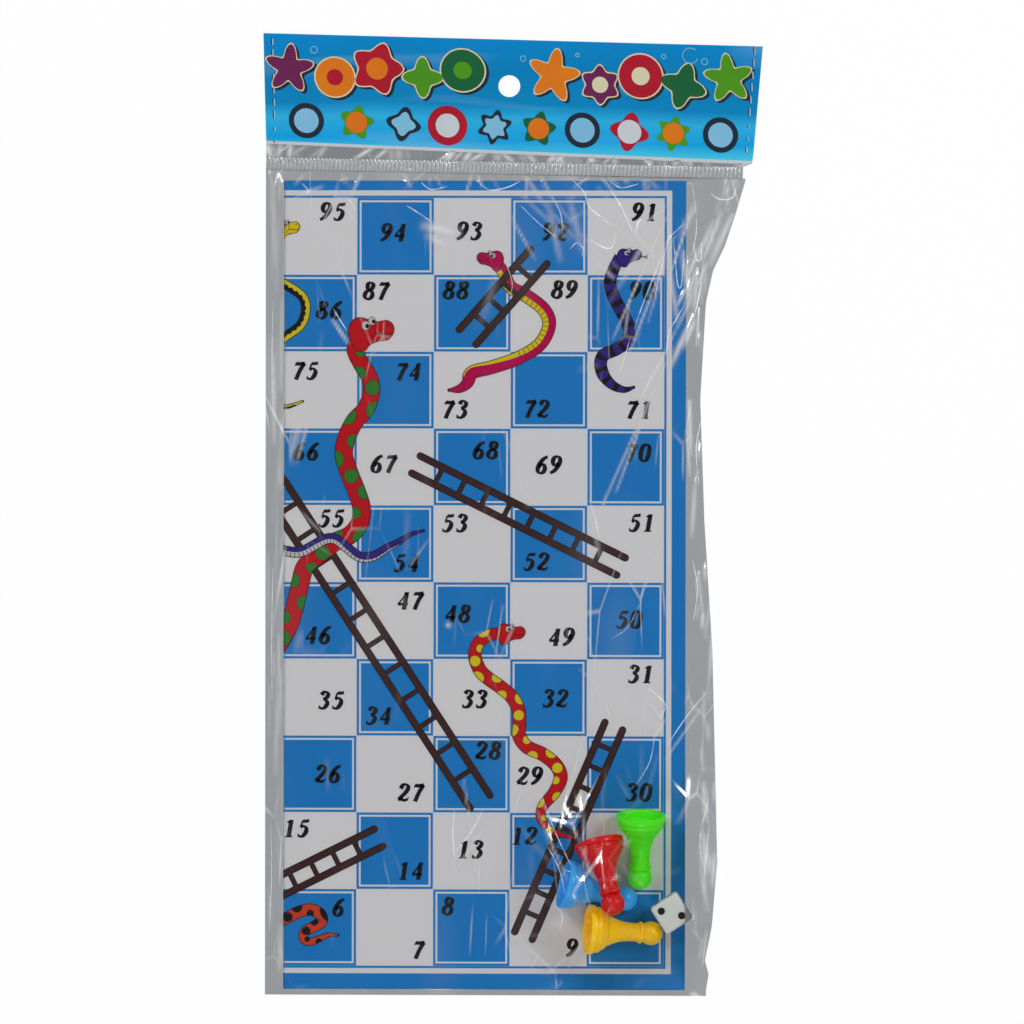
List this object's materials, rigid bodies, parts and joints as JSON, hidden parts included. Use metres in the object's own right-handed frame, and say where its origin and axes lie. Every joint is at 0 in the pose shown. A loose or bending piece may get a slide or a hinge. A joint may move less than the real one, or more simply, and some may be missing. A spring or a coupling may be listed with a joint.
{
  "type": "snakes and ladders board",
  "caption": "Folded card snakes and ladders board with loose hollow pawns and a die, sealed in a clear bag with a printed hanging header.",
  "frame": {"origin": "under the middle of the folded board, on the face that the bag lies on", "axes": "+X towards the board's open side, +Y towards the header, +Z out of the printed face"},
  "size_m": [0.16, 0.3068, 0.0188],
  "materials": {
    "grey_card": "matt grey board",
    "coated_paper": "satin coated white",
    "blue_print": "satin printed blue",
    "brown_print": "satin printed dark brown",
    "red_print": "satin printed red",
    "clear_film": "clear glossy film, creased",
    "header_film": "glossy printed film",
    "green_plastic": "glossy moulded green",
    "red_plastic": "glossy moulded red",
    "blue_plastic": "glossy moulded blue",
    "yellow_plastic": "glossy moulded yellow",
    "white_plastic": "satin moulded white",
    "black_paint": "matt black paint"
  },
  "bodies": {
    "back_half": {"back_card": "grey_card", "back_print_sheet": "coated_paper", "back_blue_ink": "blue_print", "back_ladder_ink": "brown_print", "back_snake_ink": "red_print", "spine_paper": "coated_paper", "bag_back_film": "clear_film", "bag_fold_side": "clear_film", "bag_edge_weld": "clear_film", "mouth_seal": "clear_film"},
    "front_half": {"front_card": "grey_card", "front_print_sheet": "coated_paper", "front_blue_ink": "blue_print", "front_ladder_ink": "brown_print", "front_snake_ink": "red_print", "bag_front_film": "clear_film"},
    "header": {"neck_film": "clear_film", "header_back_panel": "header_film", "header_front_panel": "header_film", "header_side_welds": "header_film"},
    "green_pawn": {"green_pawn": "green_plastic"},
    "red_pawn": {"red_pawn": "red_plastic"},
    "blue_pawn": {"blue_pawn": "blue_plastic"},
    "yellow_pawn": {"yellow_pawn": "yellow_plastic"},
    "die": {"die": "white_plastic", "die_pips": "black_paint"}
  },
  "joints": [
    {"name": "board_fold", "type": "hinge", "parent": "back_half", "child": "front_half", "pos_m": [-0.06344, 0, 0.00097], "axis": [0, -1, 0], "range_deg": [0, 3]},
    {"name": "header_bend", "type": "hinge", "parent": "back_half", "child": "header", "pos_m": [0.00008, 0.13515, 0.0005], "axis": [0.9998, -0.0192, 0], "range_deg": [0, 110]},
    {"name": "green_pawn_roll", "type": "hinge", "parent": "front_half", "child": "green_pawn", "pos_m": [0.04982, -0.0929, 0.00563], "axis": [-0.0171, -0.9776, -0.2099], "continuous": true},
    {"name": "red_pawn_roll", "type": "hinge", "parent": "front_half", "child": "red_pawn", "pos_m": [0.04131, -0.10064, 0.01425], "axis": [0.2256, -0.9471, 0.2284], "continuous": true},
    {"name": "blue_pawn_roll", "type": "hinge", "parent": "front_half", "child": "blue_pawn", "pos_m": [0.04518, -0.09969, 0.00563], "axis": [0.9466, -0.2448, -0.2099], "continuous": true},
    {"name": "yellow_pawn_roll", "type": "hinge", "parent": "front_half", "child": "yellow_pawn", "pos_m": [0.05332, -0.11059, 0.00563], "axis": [0.9751, -0.0716, -0.2099], "continuous": true},
    {"name": "die_shift", "type": "slide", "parent": "front_half", "child": "die", "axis": [-0.5446, 0.8387, 0], "range_m": [0, 0.001]}
  ]
}
